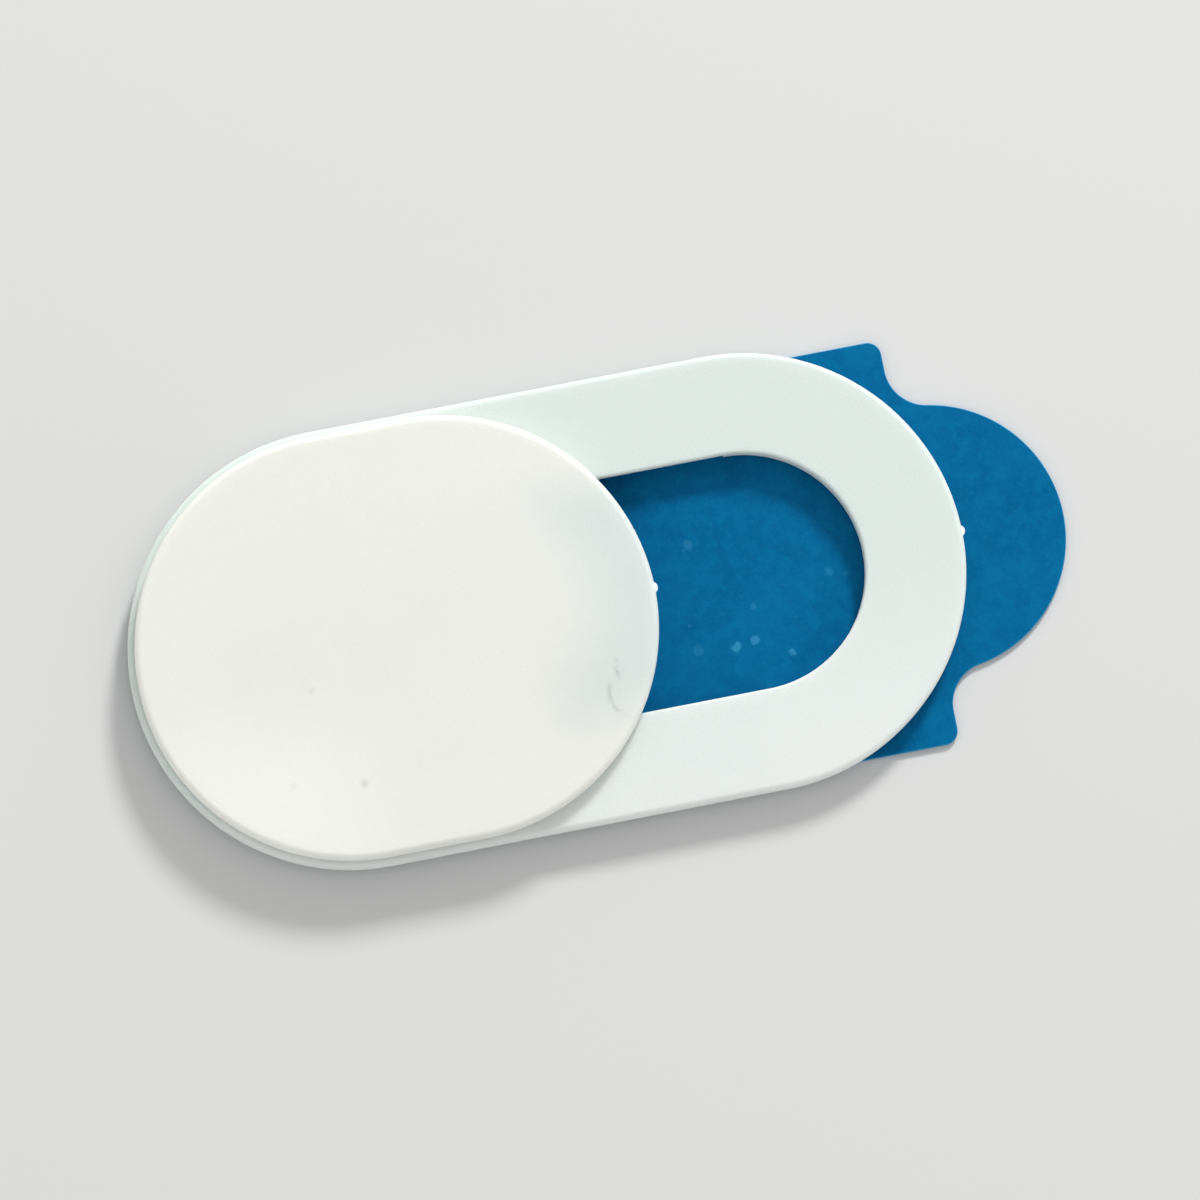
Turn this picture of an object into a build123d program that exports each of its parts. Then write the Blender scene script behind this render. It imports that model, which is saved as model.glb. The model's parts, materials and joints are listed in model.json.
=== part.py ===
from build123d import *
import os

# Sliding webcam cover on its release liner, in millimetres. A thin white frame with a round-ended window
# carries a one-piece shutter. The shutter's neck runs in the window, and two snap hooks on the neck catch
# under the window's lips. A die-cut adhesive ring holds the frame to the laptop, and until then a blue
# release liner with a pull tab covers the adhesive.
#
# The origin is below the middle of the frame, on the underside of the liner. X runs along the slide, towards
# the pull tab, and Z is up. The shutter stands at the end of its travel that leaves the window open.

# Base frame
frame_length = 18.0
frame_width = 9.4
frame_thickness = 0.45
frame_edge_radius = 0.12
rim_width = 2.15  # from the frame's edge to its window, all the way round
window_edge_radius = 0.06

# Shutter
travel = 6.55
shutter_inset = 0.15  # how far the plate stays inside the frame's outline, at both ends of its travel
plate_thickness = 0.35
plate_edge_radius = 0.14
plate_foot_chamfer = 0.04  # breaks the plate's lower edge, which slides over the frame
hook_length = 1.9
hook_thickness = 0.15
hook_bite = 0.2  # how far a hook reaches under its lip
hook_lead_in = 0.07  # chamfer that lets a hook snap past its lip

# Running clearances
lift_clearance = 0.03  # plate above the frame, and hooks below the lips
side_clearance = 0.06  # neck to the window, at its long sides and at its stops
hook_clearance = 0.1  # hooks to the undercuts' walls
foot_clearance = 0.05  # hooks above the frame's underside

# Injection gates, left as small cut stubs on the pull-tab end of both mouldings
gate_width = 0.24
gate_height = 0.2
gate_stub = 0.06

# Adhesive ring
adhesive_thickness = 0.1
adhesive_cover = 0.1  # how far the liner reaches past the adhesive's outer edge
adhesive_hook_margin = 0.15  # from the undercuts' walls, and as far from the window all the way round

# Release liner
liner_thickness = 0.1
liner_inset = 0.3  # from the frame's edge, at the sides and round end
liner_setback = 0.9  # from the frame's end to the liner's square end
liner_corner_radius = 0.3
tab_shoulder = 1.52  # how much narrower the round tab is than the liner, on each side
tab_reach = 2.25  # past the frame's end
tab_root_radius = 0.9
tab_root_share = 0.75  # of the shoulder's straight edge, the most that a root may take up

# Heights in the stack
frame_bottom = liner_thickness + adhesive_thickness
frame_top = frame_bottom + frame_thickness
plate_bottom = frame_top + lift_clearance
neck_bottom = frame_bottom + foot_clearance
hook_top = neck_bottom + hook_thickness
undercut_top = hook_top + lift_clearance

# Sizes that follow from the frame
window_width = frame_width - 2 * rim_width
hook_half_span = window_width / 2 + hook_bite
hook_chamfer = min(hook_lead_in, hook_thickness / 2)
undercut_length = travel + hook_length + 2 * hook_clearance
undercut_width = 2 * (hook_half_span + hook_clearance)
adhesive_edge_inset = liner_inset + adhesive_cover
adhesive_window_margin = hook_bite + hook_clearance + adhesive_hook_margin
liner_half_width = frame_width / 2 - liner_inset
liner_round_x = (frame_width - frame_length) / 2
liner_square_x = frame_length / 2 - liner_setback
tab_radius = liner_half_width - tab_shoulder
tab_x = frame_length / 2 + tab_reach - tab_radius
tab_root = min(tab_root_radius, tab_root_share * (tab_shoulder - liner_corner_radius))


def frame_slot(margin, mode=Mode.ADD):
    """Round-ended outline that lies this far inside the frame's edge."""
    SlotOverall(frame_length - 2 * margin, frame_width - 2 * margin, mode=mode)


def sliding_slot(margin):
    """The open end of that outline, short enough to stay inside it over the whole travel."""
    frame_slot(margin)
    with Locations((-travel, 0)):
        frame_slot(margin, mode=Mode.INTERSECT)


def gate_nub(end_x):
    """Outline of a cut gate that stands proud of a round end."""
    with Locations((end_x + gate_stub - gate_width / 2, 0)):
        Circle(gate_width / 2)


# Base frame: one moulded plate with a round-ended window, undercut along the window's long sides
with BuildPart() as base_frame:
    with BuildSketch(Plane.XY.offset(frame_bottom)):
        frame_slot(0)
        frame_slot(rim_width, mode=Mode.SUBTRACT)
    extrude(amount=frame_thickness)
    fillet(base_frame.faces().sort_by(Axis.Z)[-1].outer_wire().edges(), frame_edge_radius)
    fillet(base_frame.faces().sort_by(Axis.Z)[-1].inner_wires()[0].edges(), window_edge_radius)
    with BuildSketch(Plane.XY.offset(frame_bottom)):
        Rectangle(undercut_length, undercut_width)
    extrude(amount=undercut_top - frame_bottom, mode=Mode.SUBTRACT)
    with BuildSketch(Plane.XY.offset(frame_bottom + (frame_thickness - gate_height) / 2)):
        gate_nub(frame_length / 2)
    extrude(amount=gate_height)
base_frame.part.label = "base_frame"

# Shutter: a round-ended plate over the frame, a neck down through the window and two hooks on the neck
with BuildPart() as shutter:
    with BuildSketch(Plane.XY.offset(plate_bottom)):
        sliding_slot(shutter_inset)
    extrude(amount=plate_thickness)
    fillet(shutter.faces().sort_by(Axis.Z)[-1].edges(), plate_edge_radius)
    chamfer(shutter.faces().sort_by(Axis.Z)[0].edges(), plate_foot_chamfer)
    with BuildSketch(Plane.XY.offset(neck_bottom)):
        sliding_slot(rim_width + side_clearance)
    extrude(amount=plate_bottom - neck_bottom)
    with BuildSketch(Plane.YZ.offset(-travel / 2)):
        with BuildLine():
            Polyline(
                (0, neck_bottom),
                (hook_half_span - hook_chamfer, neck_bottom),
                (hook_half_span, neck_bottom + hook_chamfer),
                (hook_half_span, hook_top),
                (0, hook_top),
                close=True,
            )
        make_face()
        mirror(about=Plane.YZ)
    extrude(amount=hook_length / 2, both=True)
    with BuildSketch(Plane.XY.offset(plate_bottom + (plate_thickness - gate_height) / 2)):
        gate_nub(frame_length / 2 - shutter_inset - travel)
    extrude(amount=gate_height)
shutter.part.label = "shutter"

# Adhesive ring: double-sided tape, die-cut to lie inside the liner's edge and clear of the hooks
with BuildPart() as adhesive_ring:
    with BuildSketch(Plane.XY.offset(liner_thickness)):
        frame_slot(adhesive_edge_inset)
        frame_slot(rim_width - adhesive_window_margin, mode=Mode.SUBTRACT)
    extrude(amount=adhesive_thickness)
adhesive_ring.part.label = "adhesive_ring"

# Release liner: film, round at one end like the frame, square at the other with a round pull tab
with BuildPart() as release_liner:
    with BuildSketch() as liner_outline:
        with BuildLine():
            Line((liner_round_x, -liner_half_width), (liner_square_x, -liner_half_width))
            Line((liner_square_x, -liner_half_width), (liner_square_x, liner_half_width))
            Line((liner_square_x, liner_half_width), (liner_round_x, liner_half_width))
            CenterArc((liner_round_x, 0), liner_half_width, 90, 180)
        make_face()
        fillet(liner_outline.vertices().group_by(Axis.X)[-1], liner_corner_radius)
        with Locations((tab_x, 0)):
            Circle(tab_radius)
        square_end = liner_outline.vertices().group_by(lambda v: abs(v.X - liner_square_x))[0]
        fillet(square_end.sort_by(Axis.Y)[1:-1], tab_root)
    extrude(amount=liner_thickness)
release_liner.part.label = "release_liner"

os.makedirs("parts", exist_ok=True)
for piece in (base_frame, shutter, adhesive_ring, release_liner):
    export_step(piece.part, f"parts/{piece.part.label}.step")
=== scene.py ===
import json
from math import atan2, cos, degrees, hypot, radians, sin, sqrt

import bmesh
import bpy
from mathutils import Matrix, Vector

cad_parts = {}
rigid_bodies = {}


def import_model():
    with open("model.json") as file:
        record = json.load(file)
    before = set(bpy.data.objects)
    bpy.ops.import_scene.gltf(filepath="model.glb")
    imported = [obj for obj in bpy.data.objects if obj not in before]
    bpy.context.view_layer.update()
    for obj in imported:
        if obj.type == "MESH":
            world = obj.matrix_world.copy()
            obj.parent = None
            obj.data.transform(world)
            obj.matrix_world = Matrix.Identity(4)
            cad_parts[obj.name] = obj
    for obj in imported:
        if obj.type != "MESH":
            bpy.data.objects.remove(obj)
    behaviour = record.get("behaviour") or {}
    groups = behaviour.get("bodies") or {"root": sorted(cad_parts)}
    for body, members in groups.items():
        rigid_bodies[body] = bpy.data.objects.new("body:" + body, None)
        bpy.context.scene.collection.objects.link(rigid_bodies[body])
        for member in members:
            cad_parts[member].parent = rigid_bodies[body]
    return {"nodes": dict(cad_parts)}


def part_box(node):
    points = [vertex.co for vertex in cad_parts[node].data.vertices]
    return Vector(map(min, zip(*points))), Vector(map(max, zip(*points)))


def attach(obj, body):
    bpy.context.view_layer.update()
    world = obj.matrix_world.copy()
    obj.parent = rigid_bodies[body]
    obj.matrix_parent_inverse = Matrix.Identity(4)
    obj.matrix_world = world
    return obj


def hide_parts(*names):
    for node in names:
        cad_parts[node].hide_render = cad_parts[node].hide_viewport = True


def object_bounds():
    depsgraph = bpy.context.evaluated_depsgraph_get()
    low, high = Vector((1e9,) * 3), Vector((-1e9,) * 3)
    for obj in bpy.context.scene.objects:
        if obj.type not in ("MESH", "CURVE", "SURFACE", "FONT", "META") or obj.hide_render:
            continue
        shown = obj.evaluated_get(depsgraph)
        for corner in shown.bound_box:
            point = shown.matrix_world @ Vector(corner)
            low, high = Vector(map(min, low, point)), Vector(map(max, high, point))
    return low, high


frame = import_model()
cad_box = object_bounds()

# Release liner: blue polyester film, die-cut round at one end and square at the other, with a round pull tab
# that reaches past the frame. It covers the adhesive until the cover is used, and all else lies on it.
MM = 0.001  # pieces are modelled in millimetres, then shrunk to metres
ARC_STEP = 1.5  # degrees of a round outline between two points
SAME_POINT = 0.001  # points as close together as this are one point

film_low, film_high = (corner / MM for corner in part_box("release_liner"))
film_half = film_high.y
film_round_x = film_low.x + film_half
film_square_x = 8.1
film_corner = 0.3
film_edge = 0.02
tab_radius = 2.88
tab_x = film_high.x - tab_radius
tab_root = 0.9


def start_piece(name):
    """An empty mesh, open in edit mode."""
    bpy.ops.object.select_all(action="DESELECT")
    bpy.ops.object.add(type="MESH", enter_editmode=True)
    bpy.context.object.name = name
    return bpy.context.object


def pen_down(x, y, z):
    """One new point, the only one selected, to draw an outline from."""
    bpy.ops.mesh.select_mode(type="VERT")
    bpy.ops.mesh.select_all(action="DESELECT")
    bpy.ops.mesh.primitive_plane_add(size=1, location=(x, y, z))
    bpy.ops.mesh.merge(type="CENTER")


def pen_point():
    """Where the pen is: the one selected point."""
    return next(v.co.copy() for v in bmesh.from_edit_mesh(bpy.context.object.data).verts if v.select)


def pen_line(x, y):
    """A straight stroke to that point."""
    here = pen_point()
    bpy.ops.mesh.extrude_vertices_move(TRANSFORM_OT_translate={"value": (x - here.x, y - here.y, 0)})


def pen_arc(x, y, turn):
    """A round stroke about that centre, by so many degrees, counter-clockwise seen from above."""
    steps = max(4, round(abs(turn) / ARC_STEP))
    bpy.ops.mesh.spin(steps=steps, angle=radians(turn), center=(x, y, pen_point().z), axis=(0, 0, -1))


def pen_close():
    """Joins the outline's end to its start, and selects the outline."""
    bpy.ops.mesh.select_linked()
    bpy.ops.mesh.remove_doubles(threshold=SAME_POINT)


def raise_selected(height):
    """Draws the selected faces up, or down where the height is below 0, with walls round them."""
    bpy.ops.mesh.extrude_region_move(TRANSFORM_OT_translate={"value": (0, 0, height)})


def choose_creases(test):
    """Selects the sharp edges of the piece whose middle passes the test."""
    bpy.ops.mesh.select_mode(type="EDGE")
    bpy.ops.mesh.select_all(action="DESELECT")
    for edge in bmesh.from_edit_mesh(bpy.context.object.data).edges:
        middle = (edge.verts[0].co + edge.verts[1].co) / 2
        if len(edge.link_faces) == 2 and edge.calc_face_angle() > radians(60) and test(middle):
            edge.select_set(True)


def round_creases(radius, segments):
    """Rounds the selected edges, or chamfers them where there is one segment."""
    bpy.ops.mesh.bevel(offset=radius, segments=segments, affect="EDGES", clamp_overlap=False)


def end_piece(piece):
    """Cleans the mesh, turns its faces outwards, shades its round faces smooth and shrinks it to metres."""
    bpy.ops.mesh.select_all(action="SELECT")
    bpy.ops.mesh.dissolve_degenerate(threshold=SAME_POINT)
    bpy.ops.mesh.normals_make_consistent(inside=False)
    bpy.ops.object.mode_set(mode="OBJECT")
    bpy.ops.object.shade_smooth_by_angle(angle=radians(35))
    flat_first = piece.modifiers.new("flat_faces_stay_flat", "WEIGHTED_NORMAL")
    flat_first.keep_sharp = True
    flat_first.weight = 100
    bpy.ops.object.modifier_apply(modifier=flat_first.name)
    piece.scale = (MM, MM, MM)
    bpy.ops.object.transform_apply(scale=True)


root_x = film_square_x + tab_root
root_y = sqrt((tab_radius + tab_root) ** 2 - (root_x - tab_x) ** 2)
tab_half_turn = degrees(atan2(root_y, root_x - tab_x))
liner = start_piece("liner_film")
pen_down(film_round_x, -film_half, film_low.z)
pen_line(film_square_x - film_corner, -film_half)
pen_arc(film_square_x - film_corner, film_corner - film_half, 90)
pen_line(film_square_x, -root_y)
pen_arc(root_x, -root_y, -tab_half_turn)
pen_arc(tab_x, 0, 2 * tab_half_turn)
pen_arc(root_x, root_y, -tab_half_turn)
pen_line(film_square_x, film_half - film_corner)
pen_arc(film_square_x - film_corner, film_half - film_corner, 90)
pen_line(film_round_x, film_half)
pen_arc(film_round_x, 0, 180)
pen_close()
bpy.ops.mesh.edge_face_add()
raise_selected(film_high.z - film_low.z)
choose_creases(lambda point: point.z > film_high.z - film_edge)
round_creases(film_edge, segments=2)
end_piece(liner)


class Tone:
    """A value of a finish that varies over the surface. Sums on it add Math nodes, and node() any other."""

    def __init__(self, socket):
        self.socket = socket

    def node(self, kind, settings, inputs, output=0):
        """A new node of this kind, with its settings and with values or links for its sockets."""
        tree = self.socket.id_data
        made = tree.nodes.new("ShaderNode" + kind)
        for name, value in settings.items():
            setattr(made, name, value)
        for name, value in inputs.items():
            if isinstance(value, Tone):
                tree.links.new(value.socket, made.inputs[name])
            else:
                made.inputs[name].default_value = value
        return Tone(made.outputs[output])

    def math(self, operation, *others):
        return self.node("Math", {"operation": operation}, dict(enumerate((self, *others))))

    def __add__(self, other):
        return self.math("ADD", other)

    def __sub__(self, other):
        return self.math("SUBTRACT", other)

    def __rsub__(self, other):
        return self * -1 + other

    def __mul__(self, other):
        return self.math("MULTIPLY", other)

    __radd__ = __add__
    __rmul__ = __mul__

    def __abs__(self):
        return self.math("ABSOLUTE")

    def at_least(self, floor):
        return self.math("MAXIMUM", floor)

    def rise(self, low, high):
        """0 below low and 1 above high, with a soft step between; low above high falls instead."""
        return self.node(
            "MapRange",
            {"interpolation_type": "SMOOTHSTEP"},
            {"Value": self, "From Min": low, "From Max": high},
        )

    def mix(self, colour, other):
        """The first colour where this value is 0, and the other where it is 1."""
        return self.node("Mix", {"data_type": "RGBA"}, {0: self, 6: colour, 7: other}, output=2)

    def noise(self, size, detail=2.0):
        """Cloudy noise over this place, with features about so many millimetres across."""
        return self.node("TexNoise", {}, {"Vector": self, "Scale": 1 / size, "Detail": detail})

    def along(self, axis):
        """How far this place lies along X, Y or Z, for 0, 1 or 2."""
        return self.node("SeparateXYZ", {}, {"Vector": self}, output=axis)

    def distance(self, *point):
        """Millimetres from this place to a point."""
        return self.node("VectorMath", {"operation": "DISTANCE"}, {0: self, 1: point}, output=1)

    def turned(self, spin, stretch):
        """This place, turned by so many degrees about Z and stretched along X, Y and Z."""
        turn = (0, 0, radians(spin))
        return self.node("Mapping", {}, {"Vector": self, "Rotation": turn, "Scale": stretch})

    def bump(self, depth):
        """The surface's normal, with this value as a height and 1 so many millimetres high."""
        return self.node("Bump", {}, {"Height": self, "Strength": 1.0, "Distance": depth * MM})

    def into(self, shader, name):
        """Feeds this value to that socket of a shader."""
        self.socket.id_data.links.new(self.socket, shader.inputs[name])


def paint(red, green, blue):
    """A colour as it is seen, from 0 to 255, as the linear colour that a shader takes."""
    seen = [value / 255 for value in (red, green, blue)]
    return (*[v / 12.92 if v < 0.0405 else ((v + 0.055) / 1.055) ** 2.4 for v in seen], 1)


def start_finish(name, **constants):
    """A new finish: its material, its shader with these constants, and the place on the piece in mm."""
    material = bpy.data.materials.new(name)
    material.use_nodes = True
    shader = material.node_tree.nodes["Principled BSDF"]
    for socket, value in constants.items():
        shader.inputs[socket.replace("_", " ").title().replace("Ior", "IOR")].default_value = value
    metres = Tone(material.node_tree.nodes.new("ShaderNodeTexCoord").outputs["Object"])
    place = metres.node("Mapping", {}, {"Vector": metres, "Scale": (1 / MM, 1 / MM, 1 / MM)})
    return material, shader, place


# an uneven blue with a fine grain, pale specks all over and a few larger flecks in the window
film_finish, shader, place = start_finish("blue_film", specular_ior_level=0.05, ior=1.57)
cloud = place.noise(1.6, detail=3)
mottle = place.noise(0.28, detail=3)
grain = place.noise(0.08, detail=2)
speckle = place.node("TexVoronoi", {}, {"Vector": place, "Scale": 1.1})
blue = cloud.rise(0.3, 0.7).mix(paint(2, 96, 147), paint(4, 105, 156))
blue = (mottle.rise(0.4, 0.65) * 0.45).mix(blue, paint(2, 116, 166))
blue = (grain.rise(0.45, 0.75) * 0.25).mix(blue, paint(5, 126, 178))
blue = (speckle.rise(0.07, 0.02) * 0.25).mix(blue, paint(60, 158, 202))
ragged = mottle * 0.3 + grain * 0.1 - 0.2  # roughens the outline of a fleck
for x, y, radius, strength in (
    (3.81, -1.51, 0.14, 0.45),
    (4.25, -1.42, 0.12, 0.4),
    (4.95, -1.8, 0.12, 0.45),
    (6.07, -0.28, 0.13, 0.2),
    (3.23, 0.88, 0.13, 0.2),
    (4.37, -0.72, 0.1, 0.2),
    (3.01, -1.42, 0.14, 0.15),
):
    fleck = (place.distance(x, y, film_high.z) + ragged).rise(radius, radius * 0.4)
    blue = (fleck * strength).mix(blue, paint(70, 168, 212))
blue.into(shader, "Base Color")
(0.34 + cloud * 0.12 + grain * 0.1).into(shader, "Roughness")
scratch = place.turned(spin=24, stretch=(0.25, 5, 1)).noise(0.5, detail=2)
(cloud * 2 + scratch * 0.3 + grain * 0.3).bump(depth=0.006).into(shader, "Normal")

# painted glow: the film's cut edge is painted a lighter blue for the light the film carries to its edge
cut_finish, shader, place = start_finish("blue_film_cut_edge", specular_ior_level=0.2, roughness=0.45)
place.noise(0.12, detail=2).mix(paint(12, 118, 168), paint(36, 150, 196)).into(shader, "Base Color")

liner.data.materials.append(film_finish)
liner.data.materials.append(cut_finish)
for face in liner.data.polygons:
    is_cut_edge = abs(face.normal.z) < 0.98
    face.material_index = 1 if is_cut_edge else 0
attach(liner, "base")
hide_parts("release_liner")

# Adhesive ring: clear transfer tape that shows the blue of the liner below, die-cut to lie under the rim and
# clear of the hooks. It holds the frame to the liner now, and to the laptop once the liner is peeled off.
tape_finish, shader, place = start_finish("clear_tape", specular_ior_level=0.4)
place.noise(0.5, detail=3).mix(paint(120, 182, 208), paint(150, 202, 222)).into(shader, "Base Color")
(0.25 + place.noise(0.2) * 0.2).into(shader, "Roughness")
tape = frame["nodes"]["adhesive_ring"]
tape.data.materials.clear()
tape.data.materials.append(tape_finish)

# Base frame: a thin white moulding with a round-ended window, softened round its top edges. The window's long
# sides are undercut from below, and the cut stub of the injection gate is left on the end towards the tab.
rim_low, rim_high = (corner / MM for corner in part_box("base_frame"))
rim_half = rim_high.y
rim_straight = -2 * (rim_low.x + rim_half)
rim_width = 2.15
rim_edge = 0.12
window_edge = 0.06
undercut = Vector((8.65, 5.7, 0.23))  # length, width and depth
gate_radius = 0.12
gate_height = 0.2
NEAR = 0.01  # how close to a face an edge lies that belongs to it


def round_ended(centre_x, straight, half, z):
    """A closed round-ended outline: two straight sides, so long, and two half circles."""
    pen_down(centre_x - straight / 2, -half, z)
    pen_line(centre_x + straight / 2, -half)
    pen_arc(centre_x + straight / 2, 0, 180)
    pen_line(centre_x - straight / 2, half)
    pen_arc(centre_x - straight / 2, 0, 180)
    pen_close()


def add_gate(stub_x, z):
    """The cut stub of the gate, joined to the moulding, with its outermost point at that X."""
    bpy.ops.mesh.select_all(action="DESELECT")
    bpy.ops.mesh.primitive_cylinder_add(
        vertices=64, radius=gate_radius, depth=gate_height, location=(stub_x - gate_radius, 0, z)
    )
    bpy.ops.mesh.intersect_boolean(operation="UNION", solver="EXACT")


def from_spine(point, centre_x, straight):
    """How far a point lies, seen from above, from the middle line of a round-ended outline."""
    return hypot(max(abs(point.x - centre_x) - straight / 2, 0), point.y)


def on_rim_top(point, at_window):
    """Whether a point is on the frame's top, in the half of the rim next to the window or in the other."""
    next_to_window = from_spine(point, 0, rim_straight) < rim_half - rim_width / 2
    return point.z > rim_high.z - NEAR and next_to_window == at_window


rim = start_piece("frame_moulding")
round_ended(0, rim_straight, rim_half, rim_low.z)
round_ended(0, rim_straight, rim_half - rim_width, rim_low.z)
bpy.ops.mesh.select_all(action="SELECT")
bpy.ops.mesh.bridge_edge_loops()
bpy.ops.mesh.select_all(action="SELECT")
raise_selected(rim_high.z - rim_low.z)
choose_creases(lambda point: on_rim_top(point, at_window=False))
round_creases(rim_edge, segments=8)
choose_creases(lambda point: on_rim_top(point, at_window=True))
round_creases(window_edge, segments=6)
bpy.ops.mesh.select_all(action="DESELECT")
bpy.ops.mesh.primitive_cube_add(size=1, scale=undercut, location=(0, 0, rim_low.z + undercut.z / 2))
bpy.ops.mesh.intersect_boolean(operation="DIFFERENCE", solver="EXACT")
add_gate(rim_high.x, (rim_low.z + rim_high.z) / 2)
end_piece(rim)


def moulded_white(name, dull, clean):
    """White plastic that lets a little light in, with the fine grain of the mould and faint flow marks."""
    material, shader, place = start_finish(
        name,
        subsurface_weight=1.0,
        subsurface_radius=(1.0, 0.95, 0.9),
        subsurface_scale=0.25 * MM,
        specular_ior_level=0.3,
        ior=1.49,
    )
    shader.subsurface_method = "BURLEY"
    flow = place.turned(spin=12, stretch=(0.7, 1, 1)).noise(3.5, detail=2)
    grain = place.noise(0.07, detail=2)
    white = flow.rise(0.3, 0.7).mix(dull, clean)
    (0.7 + flow * 0.1 + grain * 0.1).into(shader, "Roughness")
    (grain + flow * 0.5).bump(depth=0.006).into(shader, "Normal")
    return material, shader, place, white


rim_finish, shader, place, white = moulded_white("frame_white", paint(229, 235, 232), paint(234, 239, 236))
# painted shade: the frame is painted darker and cooler towards its far side
white = (place.along(1).rise(-4.5, 0.5) * 0.9).mix(white, paint(220, 230, 225))
white.into(shader, "Base Color")
rim.data.materials.append(rim_finish)
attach(rim, "base")
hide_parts("base_frame")

# Shutter: a white moulding in one piece. Its round-ended plate slides over the frame, its neck runs in the
# window, and a hook on each side of the neck's foot snaps under the window's lip.
plate_low, plate_high = (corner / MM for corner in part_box("shutter"))
plate_half = plate_high.y
plate_thickness = 0.35
plate_edge = 0.14
plate_foot = 0.04
plate_bottom = plate_high.z - plate_thickness
plate_straight = 2.05  # the straight part of its sides
plate_x = plate_low.x + plate_half + plate_straight / 2
neck_half = 2.49
hook_length = 1.9
hook_thickness = 0.15
hook_top = plate_low.z + hook_thickness
hook_half_span = 2.75
hook_lead_in = 0.07


def on_plate_foot(point):
    """Whether a point is on the plate's lower outer edge."""
    outside = from_spine(point, plate_x, plate_straight) > plate_half - NEAR
    return outside and abs(point.z - plate_bottom) < NEAR


def choose_neck_side(side, top):
    """Selects the neck's flat face on the side of -Y or +Y, below that height, where the hook stands."""
    bpy.ops.mesh.select_mode(type="FACE")
    bpy.ops.mesh.select_all(action="DESELECT")
    for face in bmesh.from_edit_mesh(bpy.context.object.data).faces:
        middle = face.calc_center_median()
        on_side = abs(middle.y - side * neck_half) < NEAR and abs(face.normal.y) > 0.9
        if on_side and abs(middle.x - plate_x) < hook_length / 2 and middle.z < top:
            face.select_set(True)


shutter = start_piece("shutter_moulding")
round_ended(plate_x, plate_straight, plate_half, plate_high.z)
bpy.ops.mesh.edge_face_add()
raise_selected(-plate_thickness)
bpy.ops.mesh.inset(thickness=plate_half - neck_half)
raise_selected(plate_low.z - plate_bottom)
choose_creases(lambda point: point.z > plate_high.z - NEAR)
round_creases(plate_edge, segments=8)
choose_creases(on_plate_foot)
round_creases(plate_foot, segments=1)
for side in (-1, 1):
    for end in (-1, 1):
        choose_neck_side(side, plate_bottom)
        bpy.ops.mesh.bisect(plane_co=(plate_x + end * hook_length / 2, 0, 0), plane_no=(1, 0, 0))
    choose_neck_side(side, plate_bottom)
    bpy.ops.mesh.bisect(plane_co=(0, 0, hook_top), plane_no=(0, 0, 1))
    choose_neck_side(side, hook_top)
    reach = side * (hook_half_span - neck_half)
    bpy.ops.mesh.extrude_region_move(TRANSFORM_OT_translate={"value": (0, reach, 0)})
choose_creases(lambda point: abs(point.y) > hook_half_span - NEAR and point.z < plate_low.z + NEAR)
round_creases(hook_lead_in, segments=1)
add_gate(plate_high.x, plate_bottom + plate_thickness / 2)
end_piece(shutter)

clean_white = paint(238, 239, 232)
shutter_finish, shader, place, white = moulded_white("shutter_white", paint(235, 236, 229), clean_white)
# painted light: past the neck, where the plate is thin, it is painted an even, lighter white, and brighter
# still at the near left
across = abs(place.along(1))
past_straight = (abs(place.along(0) - plate_x) - plate_straight / 2).at_least(0)
past_neck = (past_straight * past_straight + across * across).math("SQRT") - neck_half
white = past_neck.rise(-0.2, 0.9).mix(white, clean_white)
# painted light: the plate is painted brighter at its near left
painted_light_near_left = place.along(0).rise(-3.0, -6.5) * place.along(1).rise(0.0, -3.0)
white = (painted_light_near_left * 0.8).mix(white, paint(247, 248, 241))
# painted light: where the thin plate hangs over the open window it is painted cool, for the blue film shining
# through it
over_window = past_neck.rise(-0.3, 1.5) * across.rise(3.2, 1.6) * place.along(0).rise(-0.8, 0.4)
white = (over_window * 0.95).mix(white, paint(219, 228, 225))
# on the top: a greyer patch by the scuff, and marks of handling: three faint spots and a scuff of two curved
# strokes
on_top = place.along(2).rise(plate_bottom, plate_high.z - plate_edge)
# a greyer patch round the scuff
grey_patch = place.distance(0.4, -1.8, plate_high.z) + place.noise(0.9, detail=3) * 0.8
white = (grey_patch.rise(2.1, 0.5) * on_top * 0.3).mix(white, paint(212, 219, 214))
patches = place.noise(0.14, detail=3)
for x, y, radius, strength in (
    (-4.56, -2.95, 0.16, 0.5),
    (-6.04, -2.72, 0.14, 0.2),
    (-5.27, -0.8, 0.15, 0.2),
):
    spot = place.distance(x, y, plate_high.z) + patches * 0.05
    white = (spot.rise(radius, radius * 0.3) * strength).mix(white, paint(206, 207, 200))
for x, y, radius, low, high in ((1.53, -2.08, 0.63, -2.55, -1.83), (1.9, -1.58, 0.75, -1.8, -1.33)):
    off_line = abs(place.distance(x, y, plate_high.z) - radius) + patches * 0.08
    left_half = place.along(0).rise(x - 0.2, x - 0.4)
    from_low = place.along(1).rise(low - 0.08, low + 0.12)
    to_high = place.along(1).rise(high + 0.08, high - 0.12)
    stroke = off_line.rise(0.13, 0.03) * left_half * from_low * to_high
    white = (stroke * patches.rise(0.25, 0.6) * on_top * 0.6).mix(white, paint(176, 188, 183))
white.into(shader, "Base Color")
shutter.data.materials.append(shutter_finish)
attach(shutter, "slider")
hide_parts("shutter")

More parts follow.
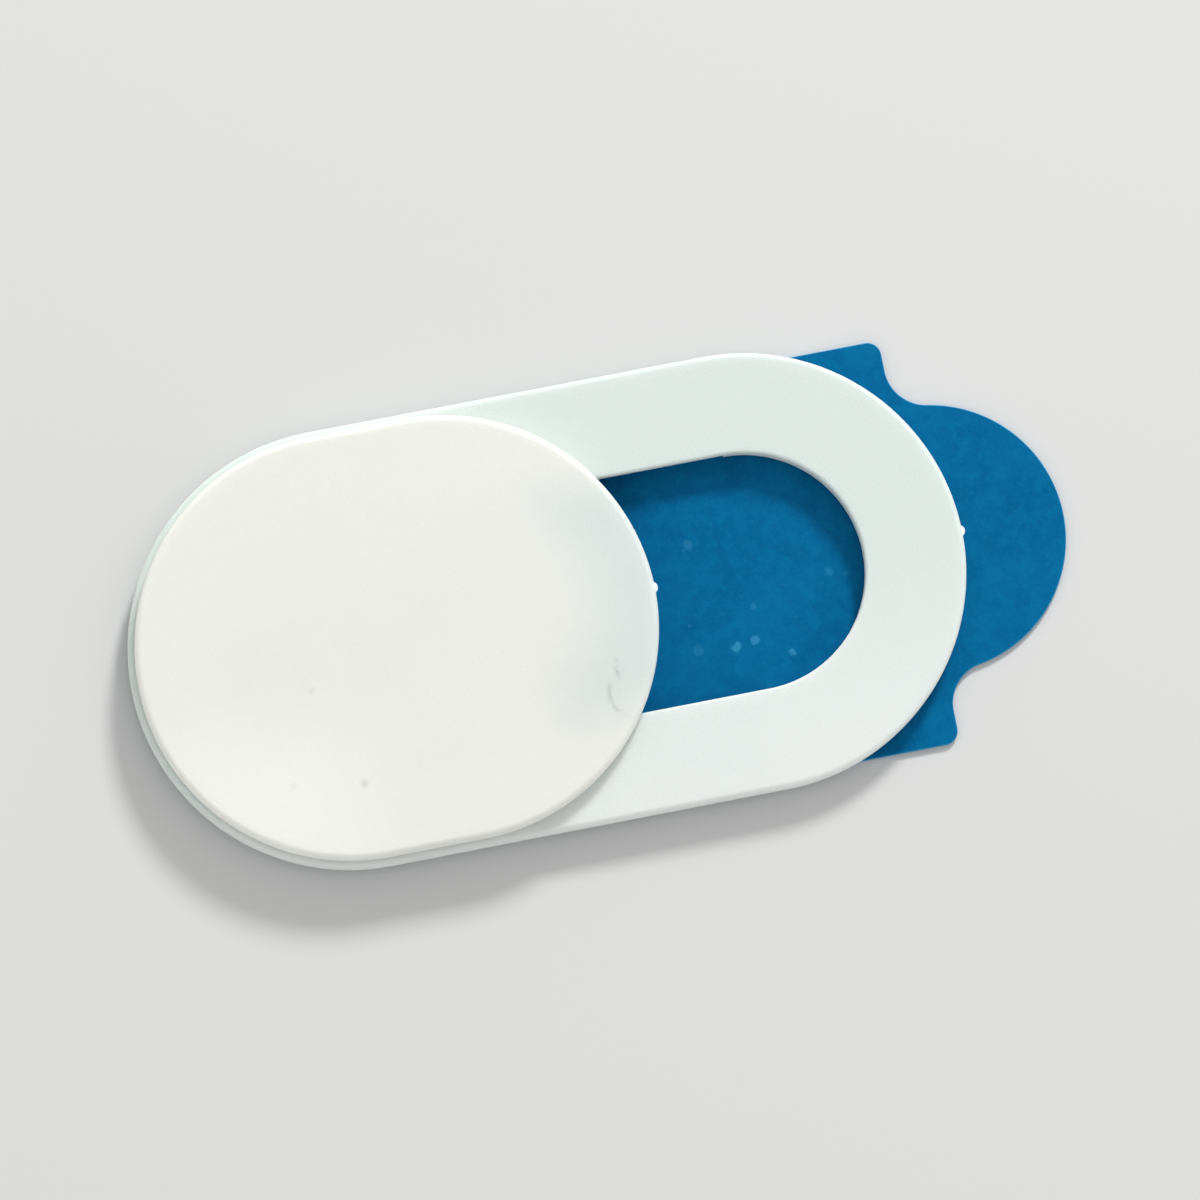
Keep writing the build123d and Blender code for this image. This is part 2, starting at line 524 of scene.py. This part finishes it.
# Floor and studio light: a plain pale sheet, a low key light from the far right, and an even light from all
# round that is dim straight above, where the camera stands and the film would mirror it
floor_colour = paint(224, 224, 223)
floor_finish = start_finish("pale_floor", base_color=floor_colour, specular_ior_level=0.0, roughness=1.0)[0]
bpy.ops.object.select_all(action="DESELECT")
bpy.ops.mesh.primitive_plane_add(size=1.5)
floor = bpy.context.object
floor.name = "floor"
floor.data.materials.append(floor_finish)

world = bpy.data.worlds.new("studio")
bpy.context.scene.world = world
world.use_nodes = True
skyward = Tone(world.node_tree.nodes.new("ShaderNodeTexCoord").outputs["Generated"]).along(2)
around, above = 0.78, 0.15
dim_from, dim_all = 0.75, 0.97  # heights in a round sky of radius 1
light = skyward.rise(dim_from, dim_all).mix((around, around, around, 1), (above, above, above, 1))
light.into(world.node_tree.nodes["Background"], "Color")

middle = (cad_box[0] + cad_box[1]) / 2
key_distance = 0.3
key_side, key_height = radians(60), radians(31)
key_direction = Vector((cos(key_side) * cos(key_height), sin(key_side) * cos(key_height), sin(key_height)))
key = bpy.data.lights.new("key", "AREA")
key.shape = "DISK"
key.size = 0.06
key.energy = 0.67
key_lamp = bpy.data.objects.new("key", key)
key_lamp.location = middle + key_direction * key_distance
key_lamp.rotation_euler = key_direction.to_track_quat("Z", "Y").to_euler()
bpy.context.scene.collection.objects.link(key_lamp)

# Camera: nearly straight above, a little to the near side and away from the tab, with the slide rising to the
# right of the picture
camera_distance = 0.196
picture_width = 0.0255
back = Vector((-0.065, -0.11, 0.99)).normalized()
upright = Vector((0.195, 0.981, 0))
right = upright.cross(back).normalized()
camera = bpy.data.cameras.new("camera")
camera.sensor_width = 36
camera.lens = camera.sensor_width * camera_distance / picture_width
camera.clip_start = 0.01
camera.clip_end = 10
camera_object = bpy.data.objects.new("camera", camera)
turn = Matrix((right, back.cross(right), back)).transposed().to_4x4()
camera_object.matrix_world = Matrix.Translation(middle + back * camera_distance) @ turn
bpy.context.scene.collection.objects.link(camera_object)
bpy.context.scene.camera = camera_object
bpy.context.scene.view_settings.view_transform = "Standard"
